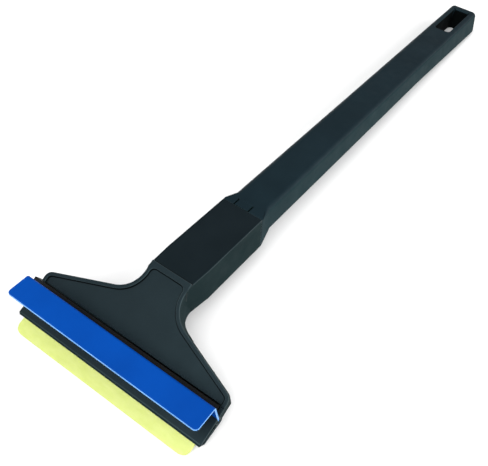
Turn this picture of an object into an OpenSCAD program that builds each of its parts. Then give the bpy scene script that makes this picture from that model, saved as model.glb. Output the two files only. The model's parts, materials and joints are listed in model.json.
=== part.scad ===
// Squeegee applicator: a long hollow handle that plugs into a T-shaped head.
// The head carries an angled scraper blade on top and a soft squeegee blade under its nose.
// Lengths are in millimetres and angles in degrees.
// X runs along the blades, Y runs from the blades to the hanging end, Z is up.
// The applicator lies as it would on a table: blade tip and handle end touch Z = 0.

/* [Blades] */
// Length of the scraper blade
blade_w = 150; // [120:1:180]
// Thickness of the scraper blade
scraper_t = 1.4; // [1:0.1:1.8]
// Length of the scraper's free leg, from the bend's outer corner to its front edge
scraper_leg = 17.8; // [12:0.2:24]
// Height of the scraper's bend above the head's face
scraper_rise = 17; // [12:0.5:20]
// Angle between the scraper's two legs
scraper_bend = 103; // [98:1:112]
// Length of the squeegee blade
squeegee_w = 143; // [100:1:148]
// Thickness of the squeegee blade
squeegee_t = 2.6; // [2:0.1:2.8]
// How far the squeegee blade stands out of the nose
squeegee_reach = 10; // [6:0.5:14]

/* [Head] */
// Slope of the head's face below the handle
face_slope = 34; // [31:0.5:37]
// How much flatter the nose is than the face
nose_lift = 5; // [3:0.5:6]
// Distance down the face from its upper end to the nose's front edge
face_l = 73; // [71:0.5:76]
// Width of the rim round the sunken panel
rim_w = 2.6; // [2:0.1:3.5]
// Depth of the sunken panel
panel_depth = 1.3; // [0.8:0.1:1.8]
// Radius of the two shoulders
shoulder_r = 20; // [16:0.5:22]
// Angle by which the head's upper edges fall away on each side
shoulder_fall = 20.3; // [18:0.1:22]
// Width of the neck
neck_w = 32; // [31:0.5:34]
// Width of the sleeve's top
sleeve_w = 34; // [34:0.2:37]
// Height of the sleeve
sleeve_h = 30.6; // [30:0.2:33]
// How much wider the sleeve is at its bottom than at its top
sleeve_spread = 5.4; // [3:0.2:6]

/* [Handle] */
// Width of the handle's top
handle_w = 28.5; // [27:0.5:30]
// Width of the handle's bottom
handle_base = 36; // [32:0.5:38]
// Height of the handle
handle_h = 21.5; // [19:0.5:23]
// Extra width of the handle's bottom at its hanging end
end_spread = 3.6; // [0:0.2:4]
// Extra height of the handle at its hanging end
end_drop = 2.6; // [0:0.2:3]
// Length of the handle outside the sleeve
handle_l = 448; // [300:1:500]
// Length of the flared collar
collar_l = 14; // [12:0.5:18]
// Length of the spigot inside the sleeve
spigot_l = 46; // [30:1:50]
// Width of the hanging slot
slot_w = 17; // [12:0.5:20]
// Length of the hanging slot
slot_l = 62; // [24:1:66]
// Width of the latch tongue
tongue_w = 11; // [8:0.5:12]
// Sideways place of the latch tongue
tongue_x = -2; // [-3:0.5:0]

/* [Hidden] */
$fn = 48;

black = [0.12, 0.14, 0.15];
gap = 0.15;                     // clearance between pieces that slide on each other
over = 1;                       // how far a cutter runs past what it cuts
head_w = blade_w + 1;           // the face is a touch wider than the scraper blade

// ---- places on the head ----
crease_y = -82.4;               // upper end of the face, in front of the sleeve's mouth
crease_z = -0.8;
function turned(p, a) = [-p[0] * cos(a) - p[1] * sin(a), -p[0] * sin(a) + p[1] * cos(a)];
// A point u down the face and n out of it, and a point s along the nose and m out of it, as [y, z]
function on_face(u, n) = [crease_y, crease_z] + turned([u, n], face_slope);
nose_u = 55.5;                  // where the nose's own slope starts
nose_n = -0.4;
nose_slope = face_slope - nose_lift;
nose_at = on_face(nose_u, nose_n);
nose_l = (face_l - nose_u) / cos(nose_lift);
function on_nose(s, m) = nose_at + turned([s, m], nose_slope);

// ---- driving places of the blades ----
plate_t = 4;                    // thickness of the face plate
beam_h = 8.2;                   // depth of the beam that holds the scraper's channel
rim_front = 46.9;               // distance down the face to the rim's front edge
channel_h = 6.4;                // depth of the channel where it takes the scraper
strip_h = 6;                    // and where it takes the lock strip
leg_up = face_slope - 3;        // the free leg points forwards, nearly in line with the handle
lean = leg_up - (scraper_bend - 90);         // lean of the standing leg off the face's normal
leg_u = 52.4;                   // where the standing leg's rear face crosses the face
leg_foot = 6.1;                 // depth of the standing leg in the channel
channel_end = leg_u + scraper_t / cos(lean) + gap;
lip_t = 2;                      // thickness of the lip over the squeegee blade
blade_in = 15;                  // depth of the squeegee blade inside the nose
rib_l = 2;                      // rib along the squeegee blade's rear edge
rib_h = 1;
seat_m = -lip_t - squeegee_t - gap;          // top of the clamp jaw, under the squeegee blade
jaw_t = 2;                      // thickness of the clamp jaw's flange
jaw_rear = 33.5;                // distance down the face to the clamp jaw's rear edge

// ---- how the applicator lies ----
// It rests on the squeegee blade's lower front edge and the handle's lower end edge.
tip = on_nose(nose_l + squeegee_reach, -lip_t - gap / 2 - squeegee_t);
end_h = handle_h + end_drop;
heel = [handle_l, -end_h];
lie = atan2(tip[1] - heel[1], heel[0] - tip[0]);
lift = -(tip[0] * sin(lie) + tip[1] * cos(lie));
// The origin is halfway between the squeegee blade's upper front edge and the handle's upper end edge
front_edge = on_nose(nose_l + squeegee_reach, -lip_t - gap / 2);
middle = (handle_l * cos(lie) + front_edge[0] * cos(lie) - front_edge[1] * sin(lie)) / 2;
module lying() translate([0, -middle, lift]) rotate([lie, 0, 0]) children();

// Children drawn with x across, y back up the slope and z out of it
module face() translate([0, crease_y, crease_z]) rotate([face_slope, 0, 0]) children();
module nose() translate([0, nose_at[0], nose_at[1]]) rotate([nose_slope, 0, 0]) children();
// Side profile drawn in [y, z], w wide across X and centred
module across(w) rotate([90, 0, 90]) translate([0, 0, -w / 2]) linear_extrude(w) children();

// ---- outlines ----
corner_steps = 9;               // flats on a rounded corner
// Points of a corner rounded to r about c, between two angles
function corner(c, r, from, to, steps = corner_steps) = r == 0 ? [c] :
  [for (i = [0:steps]) let (a = from + (to - from) * i / steps) c + r * [cos(a), sin(a)]];
// Outline whose right half is given, from one end of its middle line to the other
module mirrored(half) polygon([for (p = half) p, for (i = [len(half) - 1:-1:0]) [-half[i][0], half[i][1]]]);

// ---- sections of the sleeve and the handle ----
// Four-sided section centred on X: w wide at the top, w_low at the bottom, upper corners rounded
// to ru and lower corners to rl
function right_side(w, w_low, top, h, ru, rl) =
  let (tilt = atan2((w_low - w) / 2, h),       // the sides lean out towards the bottom
       upper = [w / 2 + ru * tan(tilt) - ru / cos(tilt), top - ru],
       lower = [w / 2 + (h - rl) * tan(tilt) - rl / cos(tilt), top - h + rl])
  concat(corner(upper, ru, 90, tilt), corner(lower, rl, tilt, -90));
module section(w, w_low, top, h, ru, rl) mirrored(right_side(w, w_low, top, h, ru, rl));
// A section drawn along Y from y0 to y1
module bar(y0, y1) translate([0, y1, 0]) rotate([90, 0, 0]) linear_extrude(y1 - y0) children();

wall = 3;                       // least wall of the sleeve
socket_w = sleeve_w - 2 * wall;
socket_h = sleeve_h - 2 * wall;
module box_section(w, top, h, r) section(w, w, top, h, r, r);
module sleeve_section() section(sleeve_w, sleeve_w + sleeve_spread, 0, sleeve_h, 0, 6);
handle_ru = 5;                  // upper corners of the handle
handle_rl = 4.5;                // and its lower ones
// Section of the handle, its bottom spread wider and dropped lower, and all sides taken in by inset
module handle_section(spread, drop, inset)
  section(handle_w - 2 * inset, handle_base + spread - 2 * inset, -inset, handle_h + drop - 2 * inset,
          handle_ru - inset / 2, handle_rl - inset / 2);

// ---- plan of the face, with x across and y up the slope ----
arc_start = -3.8;               // where the shoulder arc leaves the neck
// Drawn inset from the head's edge, from top to bottom, with its outer corners rounded to corner_r
// and its upper ones to top_r
module face_plan(inset, top, bottom, corner_r, top_r = 0) {
  a = shoulder_fall;
  nw = neck_w / 2 - inset;
  hw = head_w / 2 - inset;
  r = shoulder_r + inset;
  arc_end = [nw + r * (1 - sin(a)), arc_start - r * cos(a)];
  elbow = [nw, arc_end[1] + (arc_end[0] - nw) * tan(a)];
  c = [hw - corner_r, arc_end[1] - (corner_r + (hw - corner_r - arc_end[0]) * sin(a)) / cos(a)];
  foot_r = corner_r / 2;
  for (side = [0, 1]) mirror([side, 0]) {
    polygon([[0, top], [nw - top_r, top], [nw, top - top_r], elbow, c + corner_r * [sin(a), cos(a)], c,
             [hw, c[1]], [hw, bottom + foot_r], [hw - foot_r, bottom], [0, bottom]]);
    if (top_r > 0) translate([nw - top_r, top - top_r]) circle(top_r);
    translate(c) circle(corner_r);
    translate([hw - foot_r, bottom + foot_r]) circle(foot_r);
    difference() {
      polygon([[nw - 1, arc_start], [nw + r, arc_start], arc_end, elbow - [1, 1]]);
      translate([nw + r, arc_start]) circle(r);
    }
  }
}

// ---- head body ----
screw_x = [-54, -18, 18, 54];
screw_u = 38.6;                 // the row of jaw screws, down the face
boss_r = 4;
insert_r = 2.1;
insert_l = 5;
module at_screws(n) face() for (x = screw_x) translate([x, -screw_u, n]) children();

// Plate, beam and nose lip, clockwise from the face's upper end
head_profile = [
  on_face(-6, 0), on_face(rim_front, 0), on_face(rim_front, -0.6), on_nose(0, -0.2),
  on_nose(nose_l - 1.5, 0), on_nose(nose_l, -0.8), on_nose(nose_l, -lip_t),
  on_nose(nose_l - blade_in - 0.6, -lip_t), on_nose(nose_l - blade_in - 0.6, seat_m),
  on_face(nose_u + 1.8, -beam_h), on_face(43, -beam_h), on_face(40, -plate_t), on_face(-6, -plate_t)];
// Front end of the sleeve and the web that carries the plate
sleeve_front = -78.6;
neck_low = on_face(14, -17.8);
sleeve_low = [-70, -sleeve_h];
neck_profile = [
  [-60, 0], [sleeve_front, 0], on_face(0, 0), on_face(26, 0), on_face(30, -3.5), on_face(24, -6),
  on_face(19, -10), neck_low, sleeve_low, [-60, -sleeve_h]];
// Side view of the sleeve: its front end is cut back along the neck's underside
sleeve_profile = [
  [0, 0], [sleeve_front, 0], on_face(0, 0), [neck_low[0], -2.2], neck_low, sleeve_low, [0, -sleeve_h]];
taper_from = -62;               // the sleeve narrows from here to the neck
neck_spread = 1.2;
// The channel's front part takes the scraper and runs right across; its rear part takes the lock
// strip and ends in a wall
leg_slot_u = leg_u - gap;
channel_wall = 3;
leg_slot = [
  [leg_slot_u - over * tan(lean), over], [leg_slot_u + channel_h * tan(lean), -channel_h],
  [channel_end + channel_h * tan(lean), -channel_h], [channel_end - over * tan(lean), over]];
strip_slot = [
  [rim_front, over], [rim_front, -strip_h], [leg_slot_u + 0.5 + strip_h * tan(lean), -strip_h],
  [leg_slot_u + 0.5 - over * tan(lean), over]];
key_l = 16.5;                   // keyway for the latch tongue's tooth, in the sleeve's roof
key_z = -1.6;

module head_body() color(black) lying() difference() {
  union() {
    intersection() {
      across(head_w + 2) polygon(head_profile);
      face() translate([0, 0, -30]) linear_extrude(40) face_plan(0, 4, -face_l - over, 6);
    }
    intersection() {
      across(neck_w + 2 * shoulder_r) polygon(neck_profile);
      face() translate([0, 0, -60]) linear_extrude(80) face_plan(0, 40, -face_l, 6);
    }
    intersection() {
      union() {
        bar(taper_from - 0.1, 0) sleeve_section();
        hull() {
          bar(taper_from - 0.1, taper_from) sleeve_section();
          bar(neck_low[0], neck_low[0] + 0.1) section(neck_w, neck_w + neck_spread, 0, sleeve_h, 0, 6);
        }
      }
      across(sleeve_w + 2 * sleeve_spread) polygon(sleeve_profile);
    }
    at_screws(-beam_h) cylinder(h = beam_h - 3, r = boss_r);
  }
  bar(-spigot_l - 4, over) box_section(socket_w, -wall, socket_h, 2.5);
  translate([tongue_x - tongue_w / 2 - 0.4, -key_l, -wall - over])
    cube([tongue_w + 0.8, key_l + over, wall + over + key_z]);
  face() translate([0, 0, -panel_depth]) linear_extrude(10) face_plan(rim_w, 0, -rim_front - over, 3.4, 3.5);
  across(head_w + 2) polygon([for (p = leg_slot) on_face(p[0], p[1])]);
  translate([-channel_wall, 0, 0]) across(head_w) polygon([for (p = strip_slot) on_face(p[0], p[1])]);
  at_screws(-beam_h - over) cylinder(h = insert_l + over + 0.3, r = insert_r);
}

// ---- clamp jaw and its screws ----
jaw_profile = [
  on_face(jaw_rear, -beam_h), on_face(nose_u + 1.8, -beam_h), on_nose(nose_l - blade_in - 0.6, seat_m),
  on_nose(nose_l, seat_m), on_nose(nose_l, seat_m - 1), on_nose(nose_l - 8, seat_m - 2.6),
  on_face(nose_u + 1, -beam_h - jaw_t), on_face(jaw_rear, -beam_h - jaw_t)];
// Half of the jaw's outline, with its rear corner cut back, clear of the head's outline
jaw_half = [
  [screw_x[3] + 2, -jaw_rear], [screw_x[3] + 5, -jaw_rear - 3], [head_w / 2 - 4, -48], [head_w / 2, -54],
  [head_w / 2, -face_l + 2], [head_w / 2 - 2, -face_l - over]];
module clamp_jaw() color(black) lying() difference() {
  intersection() {
    across(head_w + 2) polygon(jaw_profile);
    face() translate([0, 0, -30]) linear_extrude(40) mirrored(jaw_half);
  }
  nose() translate([-head_w / 2 - over, -nose_l + blade_in - rib_l - 0.3, seat_m - rib_h - gap])
    cube([head_w + 2 * over, rib_l + 0.6, rib_h + gap + over]);
  at_screws(-beam_h - jaw_t - over) cylinder(h = jaw_t + 2 * over, r = 1.8);
}

screw_r = 1.5;
head_r = 3.3;
module jaw_screw() {
  difference() {
    union() {
      translate([0, 0, -1.3]) cylinder(h = 1.3, r = head_r);
      translate([0, 0, -2]) cylinder(h = 0.7, r1 = head_r - 0.9, r2 = head_r);
    }
    for (a = [0, 90]) rotate([0, 0, a]) translate([-1.9, -0.4, -2 - over]) cube([3.8, 0.8, over + 1.1]);
  }
  translate([0, 0, -0.1]) cylinder(h = jaw_t + insert_l - 0.2, r = screw_r);
}
module jaw_screws() color("silver") lying() at_screws(-beam_h - jaw_t) jaw_screw();
module jaw_inserts() color([0.75, 0.6, 0.3]) lying() at_screws(-beam_h) difference() {
  cylinder(h = insert_l, r = insert_r - 0.02);
  translate([0, 0, -over]) cylinder(h = insert_l + 2 * over, r = screw_r + 0.05);
}

// ---- scraper blade and its lock strip ----
bend_in = 0.8;                  // inside radius of the scraper's bend
bend_out = bend_in + scraper_t;
// The outer faces of the two legs meet at this point of the face's side view
apex = [leg_u - scraper_rise * tan(lean), scraper_rise];
leg_dir = [cos(leg_up), sin(leg_up)];
foot_dir = [sin(lean), -cos(lean)];
bend_at = apex + bend_out / sin(scraper_bend) * (leg_dir + foot_dir);
corner_l = bend_out / tan(scraper_bend / 2);   // from the outer corner to where the bend ends
leg_l = scraper_leg - corner_l;
foot_l = (scraper_rise + leg_foot) / cos(lean) - corner_l;
leg_out = [sin(leg_up), cos(leg_up)];          // outward normals of the two legs, in [y, z]
foot_out = [cos(lean), -sin(lean)];
leg_run = leg_l * [-cos(leg_up), sin(leg_up)];
foot_run = foot_l * [-sin(lean), -cos(lean)];
bend_profile = concat(
  [leg_out * bend_out + leg_run], corner([0, 0], bend_out, 90 - leg_up, -lean),
  [foot_out * bend_out + foot_run, foot_out * bend_in + foot_run],
  corner([0, 0], bend_in, -lean, 90 - leg_up), [leg_out * bend_in + leg_run]);
tip_r = 3;                      // rounding of the free leg's two front corners
module at_bend() lying() face() translate([0, -bend_at[0], bend_at[1]]) children();
module scraper_blade() color([0.02, 0.3, 0.68]) at_bend() intersection() {
  across(blade_w + 2) polygon(bend_profile);
  rotate([-leg_up, 0, 0]) translate([0, 0, -60]) linear_extrude(80) {
    translate([-blade_w / 2, -leg_l + tip_r]) square([blade_w, leg_l + 40]);
    translate([-blade_w / 2 + tip_r, -leg_l - over]) square([blade_w - 2 * tip_r, leg_l + over + 20]);
    for (side = [-1, 1]) translate([side * (blade_w / 2 - tip_r), -leg_l + tip_r]) circle(tip_r);
  }
}

strip_tail = 5;                 // the strip's left end stands out so that fingers can pull it
strip_inset = channel_wall + 0.3;   // its right end stops just short of the channel's wall
strip_rise = 0.9;               // how far the strip stands above the face
strip_profile = [
  [rim_front + gap, strip_rise], [rim_front + gap, gap - strip_h],
  [leg_u - gap + (strip_h - gap) * tan(lean), gap - strip_h],
  [leg_u - gap - strip_rise * tan(lean), strip_rise]];
module lock_strip() color([0.1, 0.09, 0.08]) lying() translate([-(strip_tail + strip_inset) / 2, 0, 0])
  across(head_w + strip_tail - strip_inset) polygon([for (p = strip_profile) on_face(p[0], p[1])]);

// ---- squeegee blade ----
blade_l = blade_in + squeegee_reach;
blade_r = 5;                    // rounding of its front corners, each cut with two flats
blade_corner = corner([squeegee_w / 2 - blade_r, blade_r - blade_l], blade_r, -90, 0, 2);
module squeegee_blade() color([0.86, 0.93, 0.5, 0.9]) lying() nose()
  translate([0, -nose_l + blade_in, -lip_t - gap / 2 - squeegee_t]) {
    linear_extrude(squeegee_t) mirrored(concat(blade_corner, [[squeegee_w / 2, 0]]));
    translate([-squeegee_w / 2, -rib_l, -rib_h]) cube([squeegee_w, rib_l, rib_h + 0.5]);
  }

// ---- handle ----
tube_wall = 2.6;
end_r = 5;                      // rounding of the handle's end, seen from above
slot_end = handle_l - 8;        // far end of the hanging slot at the handle's top
slot_r = 4.5;
slot_draft = 3.5;               // how much further the slot reaches at the handle's bottom
cavity_end = slot_end - slot_l - 5;
spread_from = handle_l - 158;   // the handle widens from here to its end
tongue_root = 7.2;              // the tongue bends here
slit_w = 1.2;                   // slit on each side of the tongue
tongue_tip = -14.5;
mouth_gap = 0.15;               // seam between the collar and the sleeve
flare_from = 1.6;               // the collar keeps the sleeve's section up to here

// Rectangle from x = -w / 2 to w / 2 and y0 to y1, with corners of radius r0 at y0 and r1 at y1
module round_plan(w, y0, y1, r0, r1) {
  for (side = [0, 1]) mirror([side, 0]) {
    polygon([[0, y0], [w / 2 - r0, y0], [w / 2, y0 + r0], [w / 2, y1 - r1], [w / 2 - r1, y1], [0, y1]]);
    translate([w / 2 - r0, y0 + r0]) circle(r0);
    translate([w / 2 - r1, y1 - r1]) circle(r1);
  }
}
// A plan drawn through the whole height of the handle
module through() translate([0, 0, -end_h - over]) linear_extrude(end_h + 2 * over) children();
// The hanging slot, whose far wall slants
module hanging_slot() {
  near = slot_end - slot_l;
  far = slot_end + slot_draft + 0.5;
  slant = slot_draft / end_h;
  low = -end_h - 2 * over;
  intersection() {
    through() mirrored(concat(corner([slot_w / 2 - slot_r, near + slot_r], slot_r, -90, 0),
                              corner([slot_w / 2 - slot_r, far - slot_r], slot_r, 0, 90)));
    across(slot_w + 2) polygon([[near - over, 2 * over], [slot_end - 2 * over * slant, 2 * over],
                                [slot_end - low * slant, low], [near - over, low]]);
  }
}

module handle_tube() color(black) lying() difference() {
  union() {
    bar(collar_l - 0.5, spread_from) handle_section(0, 0, 0);
    intersection() {
      hull() {
        bar(spread_from - 0.1, spread_from) handle_section(0, 0, 0);
        bar(handle_l - 0.1, handle_l) handle_section(end_spread, end_drop, 0);
      }
      through() round_plan(handle_base + end_spread, 0, handle_l, 1, end_r);
    }
    hull() {
      bar(flare_from - 0.1, flare_from) sleeve_section();
      bar(collar_l - 0.1, collar_l) handle_section(0, 0, 0);
    }
    bar(mouth_gap, flare_from) sleeve_section();
    bar(-spigot_l, flare_from) box_section(socket_w - 2 * gap, -wall - gap, socket_h - 2 * gap, 2.4);
  }
  // Hollow inside
  bar(-spigot_l - over, 4) box_section(22.4, -wall - tube_wall, 19.6, 2);
  bar(3, cavity_end) handle_section(0, 0, tube_wall);
  // Window for the latch tongue
  translate([tongue_x - tongue_w / 2 - slit_w, tongue_tip - 1.5, -wall - tube_wall - over])
    cube([tongue_w + 2 * slit_w, tongue_root - tongue_tip + 1.5, wall + tube_wall + 2 * over]);
  hanging_slot();
}

tongue_t = 2.2;
tongue_front = 0.4;             // room for the tongue's step to swing past the sleeve's mouth
tongue_low = -wall - 0.35;      // top of the part of the tongue that runs under the sleeve's roof
tongue_profile = [
  [tongue_root - 0.1, 0], [tongue_front, 0], [tongue_front, tongue_low], [-9, tongue_low],
  [-9.8, key_z - 0.3], [-11.6, key_z - 0.3], [tongue_tip, tongue_low - 0.4],
  [tongue_tip, tongue_low - 2], [2.4, tongue_low - 2], [2.4, -tongue_t], [tongue_root - 0.1, -tongue_t]];
module latch_tongue() color(black) lying()
  translate([tongue_x, 0, 0]) across(tongue_w) polygon(tongue_profile);

head_body();
clamp_jaw();
jaw_screws();
jaw_inserts();
scraper_blade();
lock_strip();
squeegee_blade();
handle_tube();
latch_tongue();
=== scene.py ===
"""Looks of the squeegee applicator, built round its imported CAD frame.

Lengths are in metres. The tool lies on the floor with its blades towards -Y, as the frame holds it.
"""

import json
import math

import bmesh
import bpy
from mathutils import Matrix, Vector
from mathutils.bvhtree import BVHTree


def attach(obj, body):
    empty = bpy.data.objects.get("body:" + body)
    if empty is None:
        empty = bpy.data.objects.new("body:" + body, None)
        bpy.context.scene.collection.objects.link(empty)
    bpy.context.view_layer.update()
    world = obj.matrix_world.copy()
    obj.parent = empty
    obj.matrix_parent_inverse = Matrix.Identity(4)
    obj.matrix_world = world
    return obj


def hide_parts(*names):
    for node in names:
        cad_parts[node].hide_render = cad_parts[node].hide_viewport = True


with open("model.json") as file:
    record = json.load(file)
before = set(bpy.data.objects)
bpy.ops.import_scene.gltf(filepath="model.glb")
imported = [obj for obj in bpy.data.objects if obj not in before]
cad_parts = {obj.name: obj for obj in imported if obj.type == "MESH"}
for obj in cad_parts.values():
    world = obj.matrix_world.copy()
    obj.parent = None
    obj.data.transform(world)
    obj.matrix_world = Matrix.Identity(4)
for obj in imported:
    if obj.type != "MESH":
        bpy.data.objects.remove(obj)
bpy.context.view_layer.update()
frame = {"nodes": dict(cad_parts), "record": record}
MM = 0.001


# ---- the tool's own axes, from the record ----
def named(rows, name):
    return next(row for row in rows if row["name"] == name)


sleeve_rest = named(frame["record"]["mounts"], "sleeve_underside")
hanging_slot = named(frame["record"]["mounts"], "hanging_slot")
along = Vector(named(frame["record"]["behaviour"]["joints"], "handle_slide")["axis"])
up = -Vector(sleeve_rest["axis"])
SLEEVE_H = 30.6 * MM
REST_BACK = 36 * MM              # the rest mount lies this far in front of the sleeve's mouth
mouth = Vector(sleeve_rest["pos_m"]) + up * SLEEVE_H + along * REST_BACK
slot_middle = (Vector(hanging_slot["pos_m"]) - mouth).dot(along)


def tool(x, y, z):
    """A point of the tool's own frame: x across, y from the sleeve's mouth to the handle's end, z up."""
    return mouth + Vector((x, 0, 0)) + along * y + up * z


def in_tool(point):
    """The tool's own x, y and z of a point of the row frame."""
    away = point - mouth
    return away.x, away.dot(along), away.dot(up)


# ---- softened copies of the CAD's pieces ----
JOIN = 2e-6                      # vertices closer than this are one
FLAT = math.radians(0.6)         # faces that meet below this angle are one
SHARP = math.radians(24)         # edges above this angle are rounded
FACET = math.radians(15)         # and above this one where a rounding of its own is asked for
UPRIGHT = 0.6                    # a top's normal rises more than this
MARGIN = 0.65 * MM               # width of the painted shade round a recess's floor
FLOOR_RISE = 0.8                 # the panel's floor has a normal that rises more than this
PANEL_AREA = 2800 * MM * MM      # only the panel's floor is larger than this
SMOOTH = math.radians(34)        # edges below this angle shade smoothly
ROUND = 0.5                      # the bevel's profile for a round edge
WIDE_STEPS, EDGE_STEPS, INNER_STEPS = 6, 3, 2    # faces across a wide, a plain and an inner rounding
STRAY = 0.5                      # share of a rounding's width that it may leave the old surface by
# Material slots: tops, rounded edges, inner corners, and sides with bottoms; inner corners hold painted
# shade, and on some pieces the edges and sides hold painted light too
FACE, EDGE, CREVICE, SIDE = range(4)


def joined_mesh(node):
    """The CAD node's mesh with its flat faces joined again."""
    bm = bmesh.new()
    bm.from_mesh(frame["nodes"][node].data)
    bmesh.ops.remove_doubles(bm, verts=bm.verts, dist=JOIN)
    bmesh.ops.dissolve_limit(bm, angle_limit=FLAT, verts=bm.verts, edges=bm.edges)
    return bm


def sharp_edges(bm, which, least=SHARP):
    return [e for e in bm.edges if len(e.link_faces) == 2 and e.calc_face_angle(0) > least and which(e)]


def round_edges(bm, edges, width, segments, slot):
    """Rounds the edges, and lays back on the old surface whatever the rounding threw clear of it."""
    if not edges:
        return
    before = BVHTree.FromBMesh(bm)
    bmesh.ops.bevel(bm, geom=edges, offset=width, offset_type="OFFSET", segments=segments,
                    profile=ROUND, affect="EDGES", clamp_overlap=False, material=slot)
    for vert in bm.verts:
        nearest, _, _, distance = before.find_nearest(vert.co)
        if distance > STRAY * width:
            vert.co = nearest
    bmesh.ops.remove_doubles(bm, verts=bm.verts, dist=JOIN)


def none(item):
    return False


def soften(node, body, name, width, wide=none, wide_width=0.0, keep=none, sunken=none, inner=none):
    """A copy of a CAD node with rounded edges.

    wide(edge) picks the edges that are rounded first, to wide_width, and keep(edge) those that stay sharp.
    sunken(face) picks the floor of a recess, which gets a margin of painted shade, and inner(face) picks
    the inner walls, which are painted dark all over as shade.
    """
    bm = joined_mesh(node)
    # Faces that don't look up go to the SIDE slot, which holds a painted reflection on the head, jaw,
    # handle and tongue
    for face in bm.faces:
        face.material_index = SIDE if face.normal.z < UPRIGHT else FACE
    # The margin round a recess's floor and the inner walls are painted dark: painted shade
    floors = [face for face in bm.faces if sunken(face)]
    margin = bmesh.ops.inset_region(bm, faces=floors, thickness=MARGIN, use_even_offset=True)["faces"]
    for face in margin + [face for face in bm.faces if inner(face)]:
        face.material_index = CREVICE
    round_edges(bm, sharp_edges(bm, wide, FACET), wide_width, WIDE_STEPS, FACE)
    # Outer edges are rounded into the EDGE slot, which holds a painted highlight on the head, jaw and
    # scraper
    outer = sharp_edges(bm, lambda edge: edge.is_convex and not keep(edge))
    round_edges(bm, outer, width, EDGE_STEPS, EDGE)
    # Inner corners are rounded into the CREVICE slot, which holds painted shade
    inward = sharp_edges(bm, lambda edge: not edge.is_convex and not keep(edge))
    round_edges(bm, inward, width, INNER_STEPS, CREVICE)
    mesh = bpy.data.meshes.new(name)
    bm.to_mesh(mesh)
    bm.free()
    mesh.shade_smooth()
    mesh.set_sharp_from_angle(angle=SMOOTH)
    piece = bpy.data.objects.new(name, mesh)
    bpy.context.scene.collection.objects.link(piece)
    even = piece.modifiers.new("even normals", "WEIGHTED_NORMAL")
    even.keep_sharp = True
    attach(piece, body)
    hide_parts(node)
    return piece


def reach(node, axis):
    """The lowest and highest of a node's points along one axis of the tool, 0, 1 or 2."""
    spots = [in_tool(v.co)[axis] for v in frame["nodes"][node].data.vertices]
    return min(spots), max(spots)


SLOT_REACH = 40 * MM             # the hanging slot's rim lies within this of its middle
SLOT_SIDE = 9 * MM               # and this far across the handle
SLOT_DEPTH = 5 * MM              # and no deeper than this
NEAR = 0.2 * MM                  # places closer than this count as the same
CORNER_FROM = 60 * MM            # the squeegee blade's corners lie further out than this
tongue_left, tongue_right = reach("latch_tongue", 0)
tongue_root = reach("latch_tongue", 1)[1]


# The hanging slot's inner walls are painted dark all over: painted shade
def slot_wall(face):
    """True for the inner walls of the hanging slot."""
    x, y, z = in_tool(face.calc_center_median())
    return abs(x) < SLOT_SIDE and abs(y - slot_middle) < SLOT_REACH and abs(face.normal.z) < UPRIGHT


def slot_rim(edge):
    """True for the upper rim of the hanging slot."""
    spots = [in_tool(v.co) for v in edge.verts]
    return all(abs(x) < SLOT_SIDE and abs(y - slot_middle) < SLOT_REACH and z > -SLOT_DEPTH
               for x, y, z in spots)


def blade_corner(edge):
    """True for the short edges where the squeegee blade's front corners turn."""
    first, second = (vert.co for vert in edge.verts)
    return abs(first.x - second.x) < NEAR and min(abs(first.x), abs(second.x)) > CORNER_FROM


def panel_floor(face):
    """True for the floor of the head's sunken panel, the largest of the faces that look up."""
    return face.normal.z > FLOOR_RISE and face.calc_area() > PANEL_AREA


def at_root(edge):
    """True for edges at the tongue's root, where it runs on into the collar."""
    spots = [in_tool(v.co) for v in edge.verts]
    return all(abs(y - tongue_root) < NEAR and tongue_left - MM < x < tongue_right + MM
               for x, y, z in spots)


# The head's panel gets a margin of painted shade round its floor
head = soften("head_body", "head", "head", 0.4 * MM, sunken=panel_floor)
jaw = soften("clamp_jaw", "head", "jaw", 0.3 * MM)
scraper = soften("scraper_blade", "scraper", "scraper", 0.22 * MM)
strip = soften("lock_strip", "lock", "strip", 0.3 * MM)
squeegee = soften("squeegee_blade", "squeegee", "squeegee", 0.3 * MM, blade_corner, 1.2 * MM)
handle = soften("handle_tube", "handle", "handle", 0.4 * MM, slot_rim, 1.6 * MM, at_root,
                inner=slot_wall)
tongue = soften("latch_tongue", "tongue", "tongue", 0.15 * MM, keep=at_root)


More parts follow.
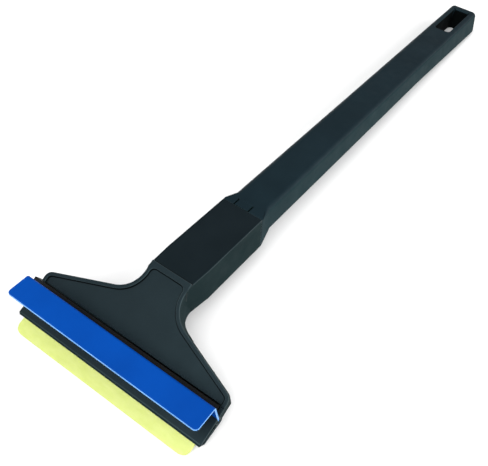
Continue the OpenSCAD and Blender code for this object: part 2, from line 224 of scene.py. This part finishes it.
# ---- materials ----
class Shader:
    """A node material on the object's own coordinates, in metres."""

    def __init__(self, name):
        self.material = bpy.data.materials.new(name)
        self.material.use_nodes = True
        self.tree = self.material.node_tree
        self.out = self.tree.nodes["Principled BSDF"]
        self.place = self.add("ShaderNodeTexCoord").outputs["Object"]

    def add(self, kind, **values):
        node = self.tree.nodes.new(kind)
        for key, value in values.items():
            setattr(node, key, value)
        return node

    def link(self, source, target):
        self.tree.links.new(source, target)

    def stretch(self, scale):
        node = self.add("ShaderNodeMapping")
        node.inputs["Scale"].default_value = scale
        self.link(self.place, node.inputs["Vector"])
        return node.outputs["Vector"]

    def noise(self, scale, detail=2.0, place=None, roughness=0.5):
        node = self.add("ShaderNodeTexNoise")
        node.inputs["Scale"].default_value = scale
        node.inputs["Detail"].default_value = detail
        node.inputs["Roughness"].default_value = roughness
        self.link(place or self.place, node.inputs["Vector"])
        return node.outputs["Fac"]

    def spread(self, value, low, high, from_low=0.3, from_high=0.7):
        node = self.add("ShaderNodeMapRange")
        for key, number in (("From Min", from_low), ("From Max", from_high),
                            ("To Min", low), ("To Max", high)):
            node.inputs[key].default_value = number
        self.link(value, node.inputs["Value"])
        return node.outputs["Result"]

    def blend(self, value, first, second):
        node = self.add("ShaderNodeMix", data_type="RGBA")
        node.inputs[6].default_value = (*first, 1)
        node.inputs[7].default_value = (*second, 1)
        self.link(value, node.inputs[0])
        return node.outputs[2]

    def bump(self, heights):
        """heights are (value, distance in metres) pairs, laid over one another."""
        normal = None
        for value, distance in heights:
            node = self.add("ShaderNodeBump")
            node.inputs["Strength"].default_value = 1
            node.inputs["Distance"].default_value = distance
            self.link(value, node.inputs["Height"])
            if normal:
                self.link(normal, node.inputs["Normal"])
            normal = node.outputs["Normal"]
        self.link(normal, self.out.inputs["Normal"])


COOL = (0.58, 0.9, 1, 1)         # the black plastic's reflections are a little blue-green


def moulded(name, dark, light, low, high, grain, specular):
    """Moulded plastic: spark-eroded grain, faint flow clouds and uneven gloss."""
    s = Shader(name)
    clouds = s.spread(s.noise(38, 4), 0, 1)
    s.link(s.blend(clouds, dark, light), s.out.inputs["Base Color"])
    s.link(s.spread(s.noise(90, 5), low, high), s.out.inputs["Roughness"])
    s.bump([(s.noise(2600, 3), grain), (s.noise(420, 3), grain * 1.2)])
    s.out.inputs["Specular IOR Level"].default_value = specular
    s.out.inputs["Specular Tint"].default_value = COOL
    return s.material


def polished(name, dark, light, low, high, scratch, specular):
    """Sheet plastic: long faint scratches along the blade and uneven gloss."""
    s = Shader(name)
    clouds = s.spread(s.noise(24, 4), 0, 1)
    s.link(s.blend(clouds, dark, light), s.out.inputs["Base Color"])
    lines = s.noise(1, 4, s.stretch((30, 1800, 1800)), 0.7)
    s.link(s.spread(lines, low, high), s.out.inputs["Roughness"])
    s.bump([(lines, scratch), (s.noise(700, 2), scratch)])
    s.out.inputs["Specular IOR Level"].default_value = specular
    return s.material


def soft_rubber(name, dark, light):
    """Cast polyurethane: cloudy, slightly see-through, with a faint cast skin."""
    s = Shader(name)
    clouds = s.spread(s.noise(1, 5, s.stretch((120, 260, 260)), 0.6), 0, 1)
    s.link(s.blend(clouds, dark, light), s.out.inputs["Base Color"])
    s.link(s.spread(s.noise(160, 4), 0.34, 0.5), s.out.inputs["Roughness"])
    s.bump([(s.noise(900, 3), 0.00002), (s.noise(120, 2), 0.00004)])
    s.out.inputs["Subsurface Weight"].default_value = 0.35
    s.out.inputs["Subsurface Radius"].default_value = (1, 1, 0.4)
    s.out.inputs["Subsurface Scale"].default_value = 0.003
    s.out.inputs["Specular IOR Level"].default_value = 0.35
    return s.material


def metal(name, dark, light, low, high, across):
    """Bare metal: fine tool marks and uneven roughness."""
    s = Shader(name)
    marks = s.noise(1, 3, s.stretch(across), 0.6)
    s.link(s.blend(s.spread(marks, 0, 1), dark, light), s.out.inputs["Base Color"])
    s.link(s.spread(s.noise(600, 3), low, high), s.out.inputs["Roughness"])
    s.bump([(marks, 0.00001)])
    s.out.inputs["Metallic"].default_value = 1
    return s.material


GRAIN = 0.022 * MM               # depth of the black plastic's grain
SCRATCH = 0.012 * MM             # depth of the blue plastic's scratches
TOOL_MARKS = (900, 900, 900)     # how finely the metal is marked along each axis
head_black = moulded("head plastic", (0.0030, 0.0056, 0.0076), (0.0042, 0.0074, 0.0098),
                     0.38, 0.50, GRAIN, 0.18)
handle_black = moulded("handle plastic", (0.0038, 0.0098, 0.0140), (0.0052, 0.0128, 0.0178),
                       0.42, 0.54, GRAIN, 0.15)
# The head's and handle's sides: the tops' plastic painted lighter and more teal, a painted reflection of
# the floor
head_side_painted_reflection = moulded("head side painted reflection", (0.0045, 0.0130, 0.0145), (0.0065, 0.0170, 0.0185),
                    0.6, 0.72, GRAIN, 0.05)
handle_side_painted_reflection = moulded("handle side painted reflection", (0.009, 0.021, 0.025), (0.012, 0.027, 0.031),
                      0.6, 0.72, GRAIN, 0.05)
# Paler colour for the head's and jaw's rounded edges: a painted highlight
painted_edge_highlight = moulded("painted edge highlight", (0.011, 0.018, 0.020), (0.016, 0.024, 0.027),
                     0.3, 0.42, GRAIN / 2, 0.3)
# Near-black for inner corners, the margin round the panel's floor and the hanging slot's walls: painted
# shade
painted_crevice_shade = moulded("painted_crevice_shade", (0.0015, 0.0018, 0.002), (0.0025, 0.003, 0.003),
                  0.7, 0.85, GRAIN, 0.05)
blue = polished("blue plastic", (0.0004, 0.042, 0.25), (0.0006, 0.052, 0.30),
                0.36, 0.5, SCRATCH, 0.04)
# Paler blue for the scraper's rounded edges and cut faces: a painted highlight
blue_cut_face_highlight = polished("blue cut face highlight", (0.09, 0.27, 0.60), (0.14, 0.35, 0.70),
                     0.35, 0.5, SCRATCH, 0.2)
# Darker blue for the scraper's inner corners, such as its bend: painted shade
blue_crease_shade = polished("blue inner corner shade", (0.001, 0.035, 0.24), (0.0012, 0.045, 0.28),
                     0.4, 0.55, SCRATCH, 0.1)
strip_black = moulded("strip plastic", (0.0060, 0.0042, 0.0036), (0.0095, 0.0065, 0.0055),
                      0.45, 0.6, GRAIN, 0.12)
yellow = soft_rubber("soft blade", (0.51, 0.58, 0.145), (0.57, 0.63, 0.20))
# A darker copy of the soft blade's colour for its rounded edges, inner corners and sides: painted shade
yellow_shaded_copy = soft_rubber("soft blade painted shade", (0.44, 0.52, 0.11), (0.50, 0.58, 0.15))
steel = metal("zinc-plated steel", (0.42, 0.43, 0.45), (0.62, 0.62, 0.63),
              0.25, 0.42, TOOL_MARKS)
brass = metal("brass", (0.55, 0.38, 0.13), (0.70, 0.52, 0.2), 0.25, 0.4, TOOL_MARKS)


def dress(piece, *materials):
    # Clearing the list sets every face back to the first slot, so an empty one is left alone
    if piece.data.materials:
        piece.data.materials.clear()
    for material in materials:
        piece.data.materials.append(material)


for piece in (head, jaw):
    dress(piece, head_black, painted_edge_highlight, painted_crevice_shade, head_side_painted_reflection)
for piece in (handle, tongue):
    dress(piece, handle_black, handle_black, painted_crevice_shade, handle_side_painted_reflection)
dress(scraper, blue, blue_cut_face_highlight, blue_crease_shade, blue)
dress(strip, strip_black, strip_black, painted_crevice_shade, strip_black)
dress(squeegee, yellow, yellow_shaded_copy, yellow_shaded_copy, yellow_shaded_copy)
dress(frame["nodes"]["jaw_screws"], steel)
dress(frame["nodes"]["jaw_inserts"], brass)

# The scraper's cut faces, at its two ends and along its front edge, are painted paler than the rest: a
# painted highlight
THICK = 1.6 * MM                 # no cut face is wider than this
FORWARD = 0.6                    # the front cut's normal points forwards at least this much
ENDWAYS = 0.9                    # and an end cut's normal points along the blade this much
for face in scraper.data.polygons:
    spots = [scraper.data.vertices[i].co for i in face.vertices]
    long_side = max(s.x for s in spots) - min(s.x for s in spots)
    front = face.normal.dot(along) < -FORWARD and face.area < THICK * long_side
    if front or abs(face.normal.x) > ENDWAYS:
        face.material_index = EDGE

# ---- camera ----
SENSOR = 36                      # the camera's lens and sensor width are in millimetres
LENS = 46.66721
camera_data = bpy.data.cameras.new("camera")
camera = bpy.data.objects.new("camera", camera_data)
bpy.context.scene.collection.objects.link(camera)
camera_data.sensor_fit = "HORIZONTAL"
camera_data.sensor_width = SENSOR
camera_data.lens = LENS
camera_data.clip_start = 0.01
camera_data.clip_end = 20
# Where the eye is and how the camera is turned, all in the tool's own frame
EYE = (159.3 * MM, -289.1 * MM, 308.1 * MM)
RIGHT = Vector((0.814, 0.569, 0.116))
DOWN = Vector((0.475, -0.539, -0.696))
AHEAD = Vector((-0.334, 0.621, -0.709))
tool_axes = Matrix(((1, 0, 0), along, up)).transposed()
turn = Matrix([tool_axes @ axis for axis in (RIGHT, -DOWN, -AHEAD)]).transposed()
camera.matrix_world = Matrix.Translation(tool(*EYE)) @ turn.to_4x4()
bpy.context.scene.camera = camera
bpy.context.scene.view_settings.view_transform = "Standard"

# ---- floor and light ----
FLOOR = 4.0                      # half the floor's width
floor_mesh = bpy.data.meshes.new("floor")
corners = [(x * FLOOR, y * FLOOR, 0) for x, y in ((-1, -1), (1, -1), (1, 1), (-1, 1))]
floor_mesh.from_pydata(corners, [], [(0, 1, 2, 3)])
floor = bpy.data.objects.new("floor", floor_mesh)
bpy.context.scene.collection.objects.link(floor)
paper = Shader("paper floor")
shade = paper.blend(paper.noise(8, 3), (0.88, 0.88, 0.88), (0.9, 0.9, 0.9))
paper.link(shade, paper.out.inputs["Base Color"])
paper.out.inputs["Roughness"].default_value = 0.95
paper.out.inputs["Specular IOR Level"].default_value = 0.1
floor.data.materials.append(paper.material)


def softbox(name, place, size, power):
    lamp = bpy.data.lights.new(name, "AREA")
    lamp.shape = "RECTANGLE"
    lamp.size, lamp.size_y = size
    lamp.energy = power
    box = bpy.data.objects.new(name, lamp)
    bpy.context.scene.collection.objects.link(box)
    box.location = place
    box.rotation_mode = "QUATERNION"
    box.rotation_quaternion = (-Vector(place)).to_track_quat("-Z", "Y")


softbox("overhead", (0, -0.4, 1.9), (1.6, 1.6), 14)
softbox("right", (1.8, -0.2, 1.1), (1.6, 1.6), 32)
softbox("right back", (1.5, 1.3, 0.9), (1.2, 1.2), 12)
softbox("front", (0.1, -1.6, 1.6), (1.6, 1.6), 34)
softbox("left", (-1.7, -0.7, 1.0), (1.6, 1.6), 16)
world = bpy.data.worlds.new("world")
bpy.context.scene.world = world
world.use_nodes = True
sky = world.node_tree.nodes["Background"]
sky.inputs["Color"].default_value = (1, 1, 1, 1)
sky.inputs["Strength"].default_value = 0.3
